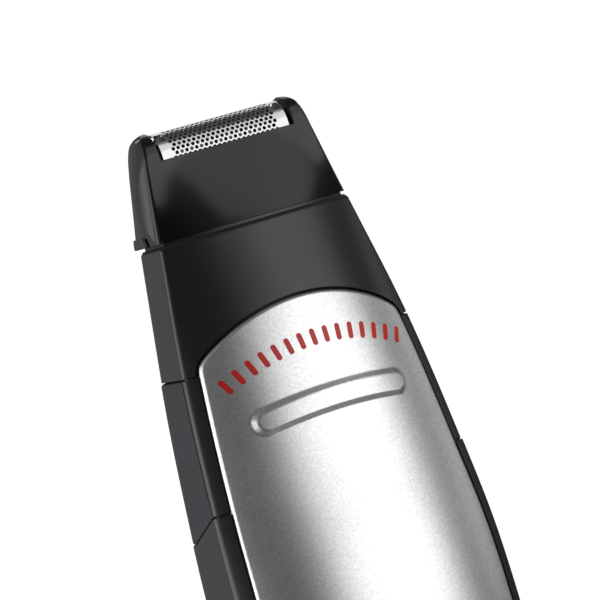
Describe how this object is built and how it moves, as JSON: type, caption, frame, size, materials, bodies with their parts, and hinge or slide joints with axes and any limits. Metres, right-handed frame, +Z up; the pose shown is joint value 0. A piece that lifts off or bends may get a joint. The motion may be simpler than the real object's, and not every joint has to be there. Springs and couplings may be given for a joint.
{
  "type": "body groomer",
  "caption": "Slim handheld body groomer: foil head with glossy covers, tapered neck, arched metallic front panel with thumb ridge, soft side grips, push button and a base charging inlet.",
  "frame": {"origin": "centre of the base, on the surface that the groomer stands on", "axes": "+Z up along the handle to the foil head; the front panel faces -Y; +X is to the right of a viewer facing the panel"},
  "size_m": [0.0432, 0.0356, 0.159],
  "materials": {
    "satin_black": "satin moulded",
    "gloss_black": "high gloss",
    "soft_grip": "soft touch",
    "silver_panel": "fine metallic satin",
    "button_silver": "satin",
    "bright_trim": "polished",
    "seal_rubber": "matte",
    "clear_lens": "clear",
    "board_green": "solder mask",
    "part_black": "moulded",
    "inner_plastic": "moulded",
    "battery_wrap": "printed film over metal can",
    "contact_metal": "plated",
    "motor_steel": "plated",
    "magnet_grey": "sintered",
    "copper_winding": "enamelled wire on laminations",
    "foil_steel": "bright perforated",
    "blade_steel": "ground",
    "lead_red": "insulated",
    "lead_blue": "insulated"
  },
  "bodies": {
    "handle": {"neck_collar": "satin_black", "mid_casing": "satin_black", "lower_casing": "satin_black", "base_cap": "satin_black", "front_panel": "silver_panel", "grip_right": "soft_grip", "grip_left": "soft_grip", "rear_grip": "soft_grip", "seam_gasket": "seal_rubber", "base_gasket": "seal_rubber", "button_ring": "bright_trim", "button_membrane": "seal_rubber", "charge_lens": "clear_lens", "control_board": "board_green", "board_screw_right": "motor_steel", "board_screw_left": "motor_steel", "tact_switch": "part_black", "charge_led": "clear_lens", "control_chip": "part_black", "battery_cell": "battery_wrap", "battery_tab_bottom": "contact_metal", "battery_tab_top": "contact_metal", "chassis_frame": "inner_plastic", "motor_can": "motor_steel", "motor_end_bell": "inner_plastic", "motor_magnet_right": "magnet_grey", "motor_magnet_left": "magnet_grey", "motor_lead_right": "lead_red", "motor_lead_left": "lead_red", "charge_lead_right": "lead_blue", "charge_lead_left": "lead_blue", "shaft_seal": "seal_rubber", "inlet_housing": "part_black", "inlet_pin_right": "contact_metal", "inlet_pin_left": "contact_metal", "base_screw_right": "motor_steel", "base_screw_left": "motor_steel"},
    "rotor": {"motor_armature": "copper_winding", "motor_shaft": "blade_steel", "eccentric_hub": "inner_plastic", "drive_pin": "blade_steel"},
    "power_key": {"power_button": "button_silver"},
    "head": {"head_base": "part_black", "head_front_cover": "gloss_black", "head_rear_cover": "gloss_black", "head_cheek_right": "satin_black", "head_cheek_left": "satin_black", "foil_frame": "part_black", "shaver_foil": "foil_steel"},
    "cutter_drive": {"drive_fork": "inner_plastic", "blade_spring_right": "motor_steel", "blade_spring_left": "motor_steel"},
    "blade_block": {"blade_block": "inner_plastic", "cutter_blades": "blade_steel"}
  },
  "joints": [
    {"name": "motor_spin", "type": "hinge", "parent": "handle", "child": "rotor", "pos_m": [0, 0.0048, 0.093], "axis": [0, 0, 1], "continuous": true},
    {"name": "power_press", "type": "slide", "parent": "handle", "child": "power_key", "axis": [0, 1, 0], "range_m": [0, 0.0008], "stiffness_N_per_m": 600, "springref_m": -0.001},
    {"name": "head_lift", "type": "slide", "parent": "handle", "child": "head", "axis": [0, 0, 1], "range_m": [0, 0.045]},
    {"name": "cutter_slide", "type": "slide", "parent": "head", "child": "cutter_drive", "axis": [1, 0, 0], "range_m": [-0.0006, 0.0006]},
    {"name": "blade_float", "type": "slide", "parent": "cutter_drive", "child": "blade_block", "axis": [0, 0, 1], "range_m": [-0.0008, 0], "stiffness_N_per_m": 500, "springref_m": 0.001, "deforming": ["blade_spring_right", "blade_spring_left"]}
  ]
}
